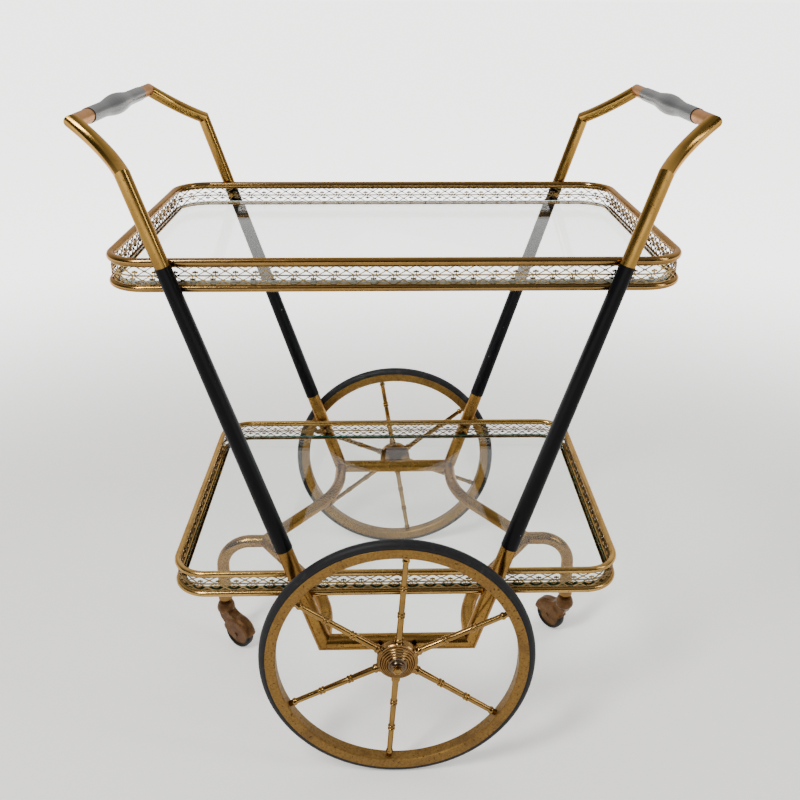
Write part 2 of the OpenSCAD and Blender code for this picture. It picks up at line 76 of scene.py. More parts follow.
class Shader:
    """A material with one Principled node, and short calls that add texture nodes to it."""

    def __init__(self, name, **values):
        """values are the Principled node's sockets, with a low line for each space in the name."""
        self.material = bpy.data.materials.new(name)
        self.material.use_nodes = True
        self.tree = self.material.node_tree
        self.tree.nodes.clear()
        self.out = self.tree.nodes.new("ShaderNodeOutputMaterial")
        self.bsdf = self.tree.nodes.new("ShaderNodeBsdfPrincipled")
        self.link(self.bsdf.outputs[0], self.out.inputs["Surface"])
        self.coordinates = self.tree.nodes.new("ShaderNodeTexCoord").outputs["Object"]
        for key, value in values.items():
            self.bsdf.inputs[key.replace("_", " ")].default_value = value

    def link(self, a, b):
        self.tree.links.new(a, b)

    def scaled(self, scale):
        """The object's coordinates in metres, times a number on each axis."""
        node = self.tree.nodes.new("ShaderNodeMapping")
        node.inputs["Scale"].default_value = scale
        self.link(self.coordinates, node.inputs["Vector"])
        return node.outputs[0]

    def noise(self, scale, detail=4.0, rough=0.55, stretch=(1, 1, 1), distort=0.0):
        """Cloudy noise from 0 to 1, scale being its waves in a metre."""
        node = self.tree.nodes.new("ShaderNodeTexNoise")
        node.inputs["Scale"].default_value = scale
        node.inputs["Detail"].default_value = detail
        node.inputs["Roughness"].default_value = rough
        node.inputs["Distortion"].default_value = distort
        self.link(self.scaled(stretch), node.inputs["Vector"])
        return node.outputs["Fac"]

    def cells(self, scale):
        """The distance to the nearest of many scattered points."""
        node = self.tree.nodes.new("ShaderNodeTexVoronoi")
        node.inputs["Scale"].default_value = scale
        self.link(self.coordinates, node.inputs["Vector"])
        return node.outputs["Distance"]

    def ramp(self, value, low, high, flip=False):
        """0 below low and 1 above high, or the other way round."""
        node = self.tree.nodes.new("ShaderNodeMapRange")
        node.interpolation_type = "SMOOTHSTEP"
        node.inputs["From Min"].default_value = low
        node.inputs["From Max"].default_value = high
        node.inputs["To Min"].default_value = 1 if flip else 0
        node.inputs["To Max"].default_value = 0 if flip else 1
        self.link(value, node.inputs["Value"])
        return node.outputs[0]

    def between(self, value, low, high):
        """A number from low to high as value goes from 0 to 1."""
        node = self.tree.nodes.new("ShaderNodeMapRange")
        node.inputs["To Min"].default_value = low
        node.inputs["To Max"].default_value = high
        self.link(value, node.inputs["Value"])
        return node.outputs[0]

    def math(self, kind, a, b):
        """The sum, difference or product of two texture values, kept between 0 and 1."""
        node = self.tree.nodes.new("ShaderNodeMath")
        node.operation = kind
        node.use_clamp = True
        self.link(a, node.inputs[0])
        self.link(b, node.inputs[1])
        return node.outputs[0]

    def mix(self, value, a, b):
        """Colour a where value is 0 and b where it is 1."""
        node = self.tree.nodes.new("ShaderNodeMix")
        node.data_type = "RGBA"
        for socket, colour in ((node.inputs[6], a), (node.inputs[7], b)):
            if isinstance(colour, tuple):
                socket.default_value = (*colour, 1)
            else:
                self.link(colour, socket)
        self.link(value, node.inputs[0])
        return node.outputs[2]

    def colour(self, value):
        self.link(value, self.bsdf.inputs["Base Color"])

    def roughness(self, value):
        self.link(value, self.bsdf.inputs["Roughness"])

    def bump(self, height, distance, strength):
        node = self.tree.nodes.new("ShaderNodeBump")
        node.inputs["Strength"].default_value = strength
        node.inputs["Distance"].default_value = distance
        self.link(height, node.inputs["Height"])
        self.link(node.outputs[0], self.bsdf.inputs["Normal"])


def dimmed(colour, factor):
    return tuple(c * factor for c in colour)


# ---------------------------------------------------------------- materials

BRASS_TINT = (0.92, 0.74, 0.62, 1)
TARNISH = (0.035, 0.018, 0.008)
GOLD = (0.26, 0.15, 0.036)
BROWN = (0.13, 0.068, 0.018)
ALONG_LEGS = (1, 1, 0.25)

RIM_GOLD = (0.22, 0.122, 0.029)
RIM_OCHRE = (0.145, 0.074, 0.017)
RIM_BROWN = (0.1, 0.05, 0.016)
RIM_PIT = (0.05, 0.022, 0.01)

LACQUER_DARK = (0.0006, 0.0006, 0.001)
LACQUER_HAZE = (0.002, 0.002, 0.003)
PRIMER = (0.42, 0.38, 0.34)

GRIP_DARK = (0.004, 0.004, 0.005)
GRIP_HAZE = (0.01, 0.01, 0.012)

TYRE_BLACK = (0.006, 0.006, 0.0065)
ROLLER_BLACK = (0.006, 0.0055, 0.005)
SCUFF_GREY = (0.06, 0.057, 0.052)

HOOD_DARK = (0.085, 0.04, 0.015)
HOOD_LIGHT = (0.135, 0.066, 0.025)
HOOD_SPECK = (0.03, 0.014, 0.007)

STEEL_DARK = (0.3, 0.27, 0.22)
STEEL_LIGHT = (0.48, 0.45, 0.4)

GLASS_IOR = 1.25
GLASS_CLEAR = (0.94, 0.975, 0.955)
# Painted light and shade: one glass gets a pale, lit edge on the upper plate and a dark, shaded edge on the
# lower one; only the green tint is the glass's own.
GLASS_EDGE_PAINTED_LIGHT = (0.85, 0.95, 0.9)
GLASS_EDGE_GREEN_PAINTED_SHADE = (0.014, 0.085, 0.065)

FLOOR_DARK = (0.74, 0.725, 0.695)
FLOOR_LIGHT = (0.78, 0.765, 0.735)
# Painted light: the floor's glow, faint near the trolley in place of lamp light and strong far out as a white
# backdrop.
FLOOR_GLOW = (1, 0.995, 0.985, 1)
FLOOR_MIDDLE = (0, -0.8, 0)
GLOW_NEAR, GLOW_FAR = 0.42, 3.0
FADE_FROM, FADE_TO = 1.3, 3.0

BRASSES = {
    "leg_brass": dict(bright=GOLD, brown=BROWN,
        patina=0.4, gloss=0.17, spots=0.3, wear=0.2, stretch=ALONG_LEGS),
    "rail_brass": dict(bright=(0.22, 0.127, 0.04), brown=(0.13, 0.073, 0.024),
        patina=0.4, gloss=0.18, spots=0.3, wear=0.2),
    "low_rail_brass": dict(bright=(0.38, 0.235, 0.075), brown=(0.2, 0.11, 0.033),
        patina=0.45, gloss=0.18, spots=0.6, wear=0.3),
    "low_brass": dict(bright=(0.23, 0.125, 0.031), brown=(0.11, 0.053, 0.014),
        patina=0.55, gloss=0.22, spots=0.85, wear=0.22),
    "handle_brass": dict(bright=GOLD, brown=BROWN,
        patina=0.35, gloss=0.17, spots=0.2, wear=0.12),
    "ferrule_brass": dict(bright=(0.32, 0.165, 0.07), brown=(0.24, 0.12, 0.05),
        patina=0.5, gloss=0.36, spots=0.3, wear=0.3),
    "bright_brass": dict(bright=(0.25, 0.148, 0.045), brown=(0.14, 0.075, 0.022),
        patina=0.45, gloss=0.14, spots=0.4, wear=0.15),
    "strip_brass": dict(bright=(0.24, 0.17, 0.075), brown=(0.1, 0.065, 0.026),
        patina=0.5, gloss=0.22, spots=0.5, wear=0.5),
    "hub_brass": dict(bright=(0.21, 0.122, 0.044), brown=(0.11, 0.06, 0.021),
        patina=0.5, gloss=0.16, spots=0.6, wear=0.2),
    "cap_bronze": dict(bright=(0.15, 0.11, 0.07), brown=(0.07, 0.045, 0.025),
        patina=0.6, gloss=0.14, spots=0.6, wear=0.4),
}


def brass(name, bright, brown, patina, gloss, spots, wear, stretch=(1, 1, 1)):
    """Old polished brass: cloudy brown patina, rubbed streaks, pin-head tarnish spots and fine scratches.

    patina is how much of it is brown, gloss its lowest roughness, spots how many dark spots it has and
    wear how rough and streaky it has become."""
    s = Shader(name, Metallic=1.0, Specular_Tint=BRASS_TINT)
    cloud = s.noise(26, 5, 0.6, stretch, 0.6)
    streak = s.noise(240, 3, 0.6, stretch)
    speck = s.noise(620, 2, 0.5)
    worn = s.ramp(cloud, 0.62 - patina * 0.45, 0.78 - patina * 0.3)
    rubbed = s.ramp(streak, 0.42, 0.72)
    dark = s.ramp(speck, 0.72 - spots * 0.12, 0.76 - spots * 0.1)
    tone = s.mix(s.between(worn, 0.0, 0.4 + 0.45 * wear), bright, brown)
    tone = s.mix(s.between(rubbed, 0.0, 0.3 * wear), tone, dimmed(brown, 0.5))
    s.colour(s.mix(s.between(dark, 0.0, 0.85), tone, TARNISH))
    rough = s.between(worn, gloss, gloss + 0.05 + 0.11 * wear)
    rough = s.math("ADD", rough, s.between(rubbed, 0.0, 0.06 * wear))
    s.roughness(s.math("ADD", rough, s.between(dark, 0.0, 0.3)))
    height = s.math("ADD", s.between(dark, 0.6, 0.0), s.between(streak, 0.0, 0.35))
    s.bump(height, 0.25 * MM, 0.06 + 0.25 * wear)
    return s.material


def rim_gold():
    """Dull ochre gilt on the rims, with dense dark pitting and a few browned patches."""
    s = Shader("rim_gilt", Metallic=0.85)
    patch = s.ramp(s.noise(30, 5, 0.6), 0.5, 0.72)
    grain = s.noise(360, 4, 0.65)
    pit = s.ramp(s.noise(330, 3, 0.6), 0.62, 0.67)
    tone = s.mix(s.ramp(grain, 0.35, 0.7), RIM_GOLD, RIM_OCHRE)
    tone = s.mix(s.between(patch, 0.0, 0.55), tone, RIM_BROWN)
    s.colour(s.mix(s.between(pit, 0.0, 0.85), tone, RIM_PIT))
    s.roughness(s.math("ADD", s.between(grain, 0.4, 0.62), s.between(pit, 0.0, 0.25)))
    s.bump(s.math("ADD", s.between(pit, 0.5, 0.0), s.between(grain, 0.0, 0.5)), 0.4 * MM, 0.5)
    return s.material


def lacquer():
    """Black lacquer on the leg sleeves, with brush waves and pin-head chips to the pale primer."""
    s = Shader("black_lacquer", Coat_Weight=0.06, Coat_Roughness=0.12, Specular_IOR_Level=0.05)
    spot = s.ramp(s.cells(95), 0.055, 0.085, flip=True)
    chip = s.math("MULTIPLY", spot, s.ramp(s.noise(22, 2), 0.56, 0.6))
    haze = s.noise(40, 5, 0.6)
    s.colour(s.mix(chip, s.mix(haze, LACQUER_DARK, LACQUER_HAZE), PRIMER))
    s.roughness(s.between(haze, 0.25, 0.42))
    s.bump(s.math("SUBTRACT", s.between(s.noise(300, 3), 0.0, 0.6), chip), 0.3 * MM, 0.25)
    return s.material


def grip_black():
    """Satin black moulded grip with faint rub marks."""
    s = Shader("grip_gloss", Coat_Weight=0.1, Coat_Roughness=0.2, Specular_IOR_Level=0.35)
    haze = s.noise(60, 4, 0.6, (1, 0.25, 1))
    s.colour(s.mix(haze, GRIP_DARK, GRIP_HAZE))
    s.roughness(s.between(haze, 0.3, 0.45))
    s.bump(s.noise(420, 3), 0.2 * MM, 0.2)
    return s.material


def rubber(name, tone):
    """Worn rubber: dusty scuffs in patches over a fine grain."""
    s = Shader(name, Specular_IOR_Level=0.15)
    scuff = s.ramp(s.noise(70, 6, 0.7), 0.52, 0.75)
    base = s.mix(s.noise(14, 4), tone, dimmed(tone, 1.9))
    s.colour(s.mix(s.between(scuff, 0.0, 0.4), base, SCUFF_GREY))
    s.roughness(s.between(scuff, 0.5, 0.8))
    s.bump(s.noise(900, 4, 0.7), 0.3 * MM, 0.4)
    return s.material


def hood_brown():
    """Reddish brown caster hood: thin old plating gone brown, with dark specks."""
    s = Shader("hood_plating", Metallic=0.9)
    cloud = s.noise(90, 5, 0.65, distort=0.5)
    speck = s.ramp(s.noise(800, 2), 0.6, 0.66)
    tone = s.mix(s.ramp(cloud, 0.35, 0.7), HOOD_DARK, HOOD_LIGHT)
    s.colour(s.mix(s.between(speck, 0.0, 0.7), tone, HOOD_SPECK))
    s.roughness(s.between(cloud, 0.5, 0.36))
    s.bump(s.noise(500, 4), 0.3 * MM, 0.2)
    return s.material


def steel():
    """Plain steel with faint turning marks, for the rods and stub axles."""
    s = Shader("axle_steel", Metallic=1.0)
    turned = s.noise(500, 3, 0.6, (1, 0.05, 1))
    s.colour(s.mix(turned, STEEL_DARK, STEEL_LIGHT))
    s.roughness(s.between(turned, 0.28, 0.45))
    return s.material


def glass(name, tint, transmission):
    """Glass that lamps shine through without a dark shadow. Its Roughness is set by the caller."""
    s = Shader(name, IOR=GLASS_IOR, Transmission_Weight=transmission)
    s.colour(s.mix(s.noise(9, 4, 0.6), tint, dimmed(tint, 0.99)))
    clear = s.tree.nodes.new("ShaderNodeBsdfTransparent")
    clear.inputs[0].default_value = (*tint, 1)
    ray = s.tree.nodes.new("ShaderNodeLightPath")
    both = s.tree.nodes.new("ShaderNodeMixShader")
    s.link(ray.outputs["Is Shadow Ray"], both.inputs[0])
    s.link(s.bsdf.outputs[0], both.inputs[1])
    s.link(clear.outputs[0], both.inputs[2])
    s.link(both.outputs[0], s.out.inputs["Surface"])
    return s


def glass_face():
    """The clear, polished face of the plates."""
    s = glass("glass_face", GLASS_CLEAR, 1.0)
    s.bsdf.inputs["Roughness"].default_value = 0.0
    return s.material


def glass_edge(name, tint):
    """The ground edge of a plate, duller and less clear than its face. Its tint, given by the caller, paints
    light on the upper plate's edge and shade on the lower one's.
    """
    s = glass(name, tint, 0.25)
    s.roughness(s.between(s.noise(160, 3), 0.12, 0.3))
    return s.material


def floor_paint_and_glow():
    """Pale matt floor that glows as painted light: faintly near the trolley, standing in for lamp light, and
    fading up into a white backdrop well away from it.
    """
    s = Shader("floor_paint_and_glow", Emission_Color=FLOOR_GLOW)
    s.colour(s.mix(s.noise(3, 3), FLOOR_DARK, FLOOR_LIGHT))
    s.roughness(s.between(s.noise(20, 3), 0.55, 0.7))
    away = s.tree.nodes.new("ShaderNodeVectorMath")
    away.operation = "DISTANCE"
    away.inputs[1].default_value = FLOOR_MIDDLE
    s.link(s.coordinates, away.inputs[0])
    fade = s.ramp(away.outputs["Value"], FADE_FROM, FADE_TO)
    # painted light: the floor's glow rises with distance from the trolley
    s.link(s.between(fade, GLOW_NEAR, GLOW_FAR), s.bsdf.inputs["Emission Strength"])
    return s.material


def make_materials():
    """Every material of the trolley by its short name."""
    made = {name: brass(name, **values) for name, values in BRASSES.items()}
    made["rim"] = rim_gold()
    made["lacquer"] = lacquer()
    made["grip"] = grip_black()
    made["tyre"] = rubber("tyre_rubber", TYRE_BLACK)
    made["roller"] = rubber("roller_rubber", ROLLER_BLACK)
    made["hood"] = hood_brown()
    made["steel"] = steel()
    made["glass_face"] = glass_face()
    # painted light on the upper plate's edge; painted shade over the glass's own green on the lower plate's
    # edge
    made["pale_edge"] = glass_edge("glass_edge_painted_light", GLASS_EDGE_PAINTED_LIGHT)
    made["dark_edge"] = glass_edge("glass_edge_green_painted_shade", GLASS_EDGE_GREEN_PAINTED_SHADE)
    return made


# ---------------------------------------------------------------- mesh helpers

def piece(name, verts, faces, material, body=None, replaces=(), smooth=30):
    """A mesh in the row frame, shaded smooth up to an angle in degrees, riding on a body."""
    mesh = bpy.data.meshes.new(name)
    mesh.from_pydata([tuple(v) for v in verts], [], faces)
    mesh.validate()
    mesh.materials.append(material)
    thing = bpy.data.objects.new(name, mesh)
    bpy.context.scene.collection.objects.link(thing)
    if smooth:
        mesh.shade_smooth()
        mesh.set_sharp_from_angle(angle=math.radians(smooth))
    if body:
        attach(thing, body)
    if replaces:
        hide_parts(*replaces)
    return thing


class Build:
    """Collects the vertices and faces of one piece."""

    SMALLEST_R = 0.01 * MM

    def __init__(self):
        self.verts = []
        self.faces = []

    def add(self, verts, faces):
        base = len(self.verts)
        self.verts += [Vector(v) for v in verts]
        self.faces += [tuple(i + base for i in face) for face in faces]

    def rings(self, rings, closed=False):
        """Joins rings of equal length into a skin. closed joins the last to the first, else both get caps."""
        count = len(rings[0])
        faces = []
        for i in range(len(rings) - (0 if closed else 1)):
            for j in range(count):
                k, n = (j + 1) % count, (i + 1) % len(rings)
                faces.append((i * count + j, i * count + k, n * count + k, n * count + j))
        if not closed:
            faces.append(tuple(reversed(range(count))))
            faces.append(tuple((len(rings) - 1) * count + j for j in range(count)))
        self.add([p for ring in rings for p in ring], faces)

    def lathe(self, profile, place, steps):
        """Turns (radius, height) points, in millimetres, about the Z axis of place."""
        angles = [2 * math.pi * i / steps for i in range(steps)]
        rings = []
        for radius, height in profile:
            r = max(radius * MM, self.SMALLEST_R)
            rings.append([place @ Vector((r * math.cos(a), r * math.sin(a), height * MM)) for a in angles])
        self.rings(rings)


def axis_place(origin, direction):
    """A frame at origin whose Z axis runs along direction."""
    z = Vector(direction).normalized()
    return Matrix.Translation(origin) @ z.to_track_quat("Z", "Y").to_matrix().to_4x4()


LONGEST_CUT = 0.4
CUT_DEPTH = 0.3


def bevelled(profile, size):
    """The profile, in millimetres, with each inner corner cut so that edges catch the light."""
    points = [Vector(p) for p in profile]
    made = [points[0]]
    for a, b, c in zip(points, points[1:], points[2:]):
        back, on = a - b, c - b
        cut = min(size, back.length * LONGEST_CUT, on.length * LONGEST_CUT)
        made.append(b + back.normalized() * cut)
        made.append(b + (back.normalized() + on.normalized()) * cut * CUT_DEPTH)
        made.append(b + on.normalized() * cut)
    made.append(points[-1])
    return [tuple(p) for p in made]


class Track:
    """A rounded rectangle seen from above. at(s) gives the point and outward normal after a run of s."""

    def __init__(self, half_x, half_y, corner):
        self.corner = corner
        self.long = half_x - corner
        wide = half_y - corner
        self.centres = [(self.long, -wide), (self.long, wide), (-self.long, wide), (-self.long, -wide)]
        self.parts = []
        for i, (centre, run) in enumerate(zip(self.centres, (self.long, wide, self.long, wide))):
            out = (i - 1) * QUARTER
            self.parts.append(("line", 2 * run, centre, out))
            self.parts.append(("arc", QUARTER * corner, centre, out))
        self.length = sum(part[1] for part in self.parts)

    def at(self, s):
        s = (s + self.long) % self.length
        for kind, run, centre, out in self.parts:
            if s <= run:
                break
            s -= run
        if kind == "arc":
            out += s / self.corner
        normal = Vector((math.cos(out), math.sin(out), 0))
        point = Vector((*centre, 0)) + normal * self.corner
        if kind == "line":
            point -= Vector((-normal.y, normal.x, 0)) * (run - s)
        return point, normal

    def outline(self, z, steps):
        """The points of the rounded corners at a height, with a number of steps in each."""
        points = []
        for i, (x, y) in enumerate(self.centres):
            for k in range(steps):
                a = (i - 1) * QUARTER + QUARTER * k / (steps - 1)
                points.append(Vector((x + self.corner * math.cos(a), y + self.corner * math.sin(a), z)))
        return points


# ---------------------------------------------------------------- galleries

STRIP = 1.2 * MM
WIRE = 0.85 * MM
EDGE_WIRE = 1.4 * MM
MIDDLE_WIRE = 1.3 * MM
MIDDLE_DEPTH = 0.75 * MM
STAMP_PROUD = 0.05 * MM
MOTIF_PITCH = 20.7 * MM
MOTIF_STEPS = 16
SLOPE_PROBE = 0.3 * MM
DISC_STEPS = 10
WAVE_CLIP = 0.97
WAVE_HEIGHT = 0.52
LOWER_ROW_SHIFT = -2.9 * MM
GALLERY_CORNER = {"upper": 42.5 * MM, "lower": 39 * MM}

# (run in mm, share of the row's height, radius in mm) of the three leaves
LEAVES = ((-2.1, 0.36, 1.1), (2.1, 0.36, 1.1), (0, 0.43, 1.2))
# (run in mm, share of the row's height) round the stem below them
STEM = ((-1.6, 0.03), (1.6, 0.03), (0.55, 0.14), (0.45, 0.4), (-0.45, 0.4), (-0.55, 0.14))
LEAF_BAR_SHARE = 0.38
# (half width, half height) in mm
LEAF_BAR = (2.2, 0.7)
KNOT = (2.2, 0.95)
TOP_KNOT = (2.9, 1.5)


def zigzag(turns):
    """A triangle wave from 1 to -1 and back once a turn, with slightly rounded tips."""
    return math.asin(WAVE_CLIP * math.cos(2 * math.pi * turns)) / math.asin(WAVE_CLIP)


class PiercedStrip(Build):
    """The wires and stamped shapes of one tray's gallery, which follow a track round the tray."""

    def __init__(self, track, lo_z, hi_z):
        super().__init__()
        self.track = track
        self.middle = (lo_z + hi_z) / 2
        self.half = (hi_z - lo_z) / 2
        self.count = round(track.length / MOTIF_PITCH / 2) * 2
        self.pitch = track.length / self.count

    def ribbon(self, height, thick, deep=STRIP / 2):
        """A closed wire round the tray whose height over the middle is height(s)."""
        rings = []
        total = self.count * MOTIF_STEPS
        for i in range(total):
            s = i * self.track.length / total
            p, n = self.track.at(s)
            z = self.middle + height(s)
            rise = (height(s + SLOPE_PROBE) - height(s - SLOPE_PROBE)) / (2 * SLOPE_PROBE)
            t = thick / 2 * math.sqrt(1 + rise * rise)
            rings.append([p + n * side + Vector((0, 0, z + up))
                for side, up in ((deep, -t), (deep, t), (-deep, t), (-deep, -t))])
        self.rings(rings, closed=True)

    def stamp(self, s, z, outline):
        """A flat shape in the strip, its outline given round (s, z)."""
        front, rear = [], []
        deep = STRIP / 2 + STAMP_PROUD
        for ds, dz in outline:
            p, n = self.track.at(s + ds)
            base = p + Vector((0, 0, self.middle + z + dz))
            front.append(base + n * deep)
            rear.append(base - n * deep)
        k = len(outline)
        faces = [tuple(range(k)), tuple(reversed(range(k, 2 * k)))]
        faces += [(i, k + i, k + (i + 1) % k, (i + 1) % k) for i in range(k)]
        self.add(front + rear, faces)

    def disc(self, s, z, rx, rz):
        """A flat oval of two half sizes in millimetres."""
        angles = [2 * math.pi * i / DISC_STEPS for i in range(DISC_STEPS)]
        self.stamp(s, z, [(rx * MM * math.cos(a), rz * MM * math.sin(a)) for a in angles])

    def trefoil(self, s, row):
        """Three leaves on a stem. row is the row's height, negative below the middle."""
        for ds, share, r in LEAVES:
            self.disc(s + ds * MM, row * share, r, r)
        self.disc(s, row * LEAF_BAR_SHARE, *LEAF_BAR)
        side = math.copysign(1, row)
        self.stamp(s, 0, [(side * ds * MM, row * share) for ds, share in STEM])

    def row(self, row, shift, top_knots):
        """Two zigzag wires that cross in knots, with a trefoil in every diamond."""
        def wave(s, flip):
            return row * (0.5 + flip * WAVE_HEIGHT * zigzag((s - shift) / (2 * self.pitch)))

        self.ribbon(lambda s: row, EDGE_WIRE)
        for flip in (-1, 1):
            self.ribbon(lambda s: wave(s, flip), WIRE)
        for i in range(self.count):
            s = i * self.pitch + shift
            knot = s + self.pitch / 2
            self.trefoil(s, row)
            self.disc(knot, row * 0.5, *KNOT)
            if top_knots:
                self.disc(knot, row, *TOP_KNOT)


def gallery(tray, material):
    """The pierced strip of a tray: a wire along the middle and a row of tracery below and above it."""
    name = tray + "_gallery"
    lo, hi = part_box(name)
    strip = PiercedStrip(Track(hi.x - STRIP / 2, hi.y - STRIP / 2, GALLERY_CORNER[tray]), lo.z, hi.z)
    strip.ribbon(lambda s: 0.0, MIDDLE_WIRE, MIDDLE_DEPTH)
    strip.row(-strip.half, LOWER_ROW_SHIFT, top_knots=False)
    strip.row(strip.half, 0.0, top_knots=True)
    piece(tray + "_pierced_strip", strip.verts, strip.faces, material, "frame", (name,))


# ---------------------------------------------------------------- shelves

GLASS_CORNER = {"upper": 37 * MM, "lower": 34.3 * MM}
GLASS_BEVEL = 0.8 * MM
GLASS_CORNER_STEPS = 40
FLAT_NORMAL_Z = 0.9


def shelf(tray, face, edge):
    """A glass plate with polished, slightly rounded edges."""
    node = tray + "_glass"
    lo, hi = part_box(node)
    soft = GLASS_BEVEL * 0.3
    levels = [(lo.z, GLASS_BEVEL), (lo.z + soft, soft), (lo.z + GLASS_BEVEL, 0),
        (hi.z - GLASS_BEVEL, 0), (hi.z - soft, soft), (hi.z, GLASS_BEVEL)]
    build = Build()
    build.rings([Track(hi.x - inset, hi.y - inset, GLASS_CORNER[tray] - inset).outline(z, GLASS_CORNER_STEPS)
        for z, inset in levels])
    plate = piece(node + "_plate", build.verts, build.faces, face, tray + "_shelf", (node,))
    plate.data.materials.append(edge)
    for polygon in plate.data.polygons:
        polygon.use_smooth = len(polygon.vertices) == 4
        if abs(polygon.normal.z) < FLAT_NORMAL_Z:
            polygon.material_index = 1


# ---------------------------------------------------------------- large wheels
# Profiles are (radius, height) in millimetres: a spoke's height is its distance from the axle, and the
# hub's, the cap's and the nut's is their distance outward from the wheel's middle plane.

FRONT, BACK = -1, 1
SPOKES = 6
SPOKE_FIRST = {FRONT: 4.2, BACK: -8.6}
SPOKE_THICK, SPOKE_THIN = 3.8, 3.2
HUB_R = 24
RIM_IN = 140
SPOKE_FACETS = 28

SPOKE_FOOT = [(0.0, HUB_R - 1.5), (4.4, HUB_R - 1.5), (4.5, HUB_R + 2), (5.0, HUB_R + 3),
    (5.2, HUB_R + 4.2), (5.0, HUB_R + 5.4), (3.9, HUB_R + 6.2)]
SPOKE_HEAD = [(3.4, RIM_IN - 9), (4.2, RIM_IN - 7.8), (4.5, RIM_IN - 6.5), (4.2, RIM_IN - 5.2),
    (3.3, RIM_IN - 4), (3.2, RIM_IN + 1.3), (0.0, RIM_IN + 1.3)]
BEAD_PLACES = (61.0, 97.7)
BEAD_REACH = 6.5
BEAD_APART = 2.0
BEAD_SIZE = (1.3, 1.6)
BEAD_SINK = 0.92
SOCKET = [(5.6, HUB_R - 3), (5.6, HUB_R + 0.6), (5.0, HUB_R + 1.2), (4, HUB_R + 1.2)]

DRUM = [(5.1, -20.1), (11, -20.1), (11, -6), (HUB_R - 1, -6), (HUB_R, -5), (HUB_R, 3.6),
    (HUB_R - 0.8, 4.6), (HUB_R - 2, 4.8)]
DRUM_STEPS = 4
DRUM_STEP_R, DRUM_STEP_H = HUB_R - 2.4, 5.0
DRUM_STEP_IN, DRUM_STEP_UP = 2.5, 1.3
DRUM_STEP = [(0, 0), (-0.5, 1.2), (-1.5, 1.4), (-2.1, 0.9)]
DRUM_TOP = [(11.2, 10.8), (6, 10.8)]
DOME_FOOT = [(11.3, 10.6), (11.3, 11.4), (10.9, 11.9), (9.2, 12.0)]
DOME_CENTRE = (3.4, 12.1)
DOME_CURVE = (5.4, 5.1)
DOME_TOP = [(0.0, 17.2)]
NUT_WASHER = [(0.0, 16.8), (5.4, 16.8), (5.4, 17.8), (4.9, 18.3)]
NUT = [(4.7, 17.9), (4.7, 20.4), (3.9, 21.2), (2.9, 21.2), (2.6, 20.6), (0.0, 20.6)]
NUT_BEVEL = 0.25
DRUM_FACETS = 96
DOME_FACETS = 64
WASHER_FACETS = 48
NUT_SIDES = 6
CURVED_SMOOTH = 40


def wheel_centre(name):
    lo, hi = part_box(name + "_rim")
    return (lo + hi) / 2


def spoke_places(side, name):
    """A frame for each spoke, its Z axis running out from the middle of the wheel."""
    angles = [math.radians(SPOKE_FIRST[side] + 360 / SPOKES * i) for i in range(SPOKES)]
    return [axis_place(wheel_centre(name), (math.sin(a), 0, math.cos(a))) for a in angles]


def shank(distance):
    """The spoke's radius between its beads, which tapers from the hub to the rim."""
    return SPOKE_THICK + (SPOKE_THIN - SPOKE_THICK) * (distance - HUB_R) / (RIM_IN - HUB_R)


def spoke_profile():
    """One turned spoke: a collared foot, two pairs of beads on a tapering shank, and a collared head."""
    wide, tall = BEAD_SIZE
    points = list(SPOKE_FOOT)
    for centre in BEAD_PLACES:
        points.append((shank(centre - BEAD_REACH), centre - BEAD_REACH))
        for bead in (-BEAD_APART, BEAD_APART):
            for a in (math.radians(angle) for angle in range(0, 181, 30)):
                r = shank(centre) * BEAD_SINK + wide * math.sin(a)
                points.append((r, centre + bead - tall * math.cos(a)))
        points.append((shank(centre + BEAD_REACH), centre + BEAD_REACH))
    points.append((shank(RIM_IN - 10), RIM_IN - 10))
    return points + SPOKE_HEAD


def spokes(side, name, material):
    build = Build()
    for place in spoke_places(side, name):
        build.lathe(spoke_profile(), place, SPOKE_FACETS)
    piece(name + "_turned_spokes", build.verts, build.faces, material, name + "_wheel",
        (name + "_spokes",), CURVED_SMOOTH)


def hub(side, name, material):
    """The hub drum with its stepped rings and the spoke sockets."""
    steps = [(DRUM_STEP_R - DRUM_STEP_IN * i + r, DRUM_STEP_H + DRUM_STEP_UP * i + h)
        for i in range(DRUM_STEPS) for r, h in DRUM_STEP]
    build = Build()
    build.lathe(DRUM + steps + DRUM_TOP, axis_place(wheel_centre(name), (0, side, 0)), DRUM_FACETS)
    for place in spoke_places(side, name):
        build.lathe(SOCKET, place, SPOKE_FACETS)
    piece(name + "_stepped_hub", build.verts, build.faces, material, name + "_wheel",
        (name + "_hub",))


def dome_cap(side, name, material):
    """The dark dome over the end of the axle."""
    (middle, base), (wide, tall) = DOME_CENTRE, DOME_CURVE
    curve = [(middle + wide * math.cos(a), base + tall * math.sin(a))
        for a in (math.radians(angle) for angle in range(0, 91, 10))]
    build = Build()
    build.lathe(DOME_FOOT + curve + DOME_TOP, axis_place(wheel_centre(name), (0, side, 0)), DOME_FACETS)
    piece(name + "_dome_cap", build.verts, build.faces, material, name + "_wheel",
        (name + "_hub_cap",), CURVED_SMOOTH)


def axle_nut(side, name, material):
    """The little six-sided nut on its washer, on top of the dome."""
    place = axis_place(wheel_centre(name), (0, side, 0))
    build = Build()
    build.lathe(NUT_WASHER, place, WASHER_FACETS)
    build.lathe(bevelled(NUT, NUT_BEVEL), place, NUT_SIDES)
    piece(name + "_axle_nut", build.verts, build.faces, material, name + "_wheel")


# ---------------------------------------------------------------- stage

FLOOR_HALF = 60
ROOM_COLOUR = (1.0, 0.985, 0.96, 1)
ROOM_DIM, ROOM_BRIGHT = 0.1, 1.1
ROOM_FADE = (-0.25, 0.95)
BACKDROP = (3.6, 3.58, 3.52, 1)

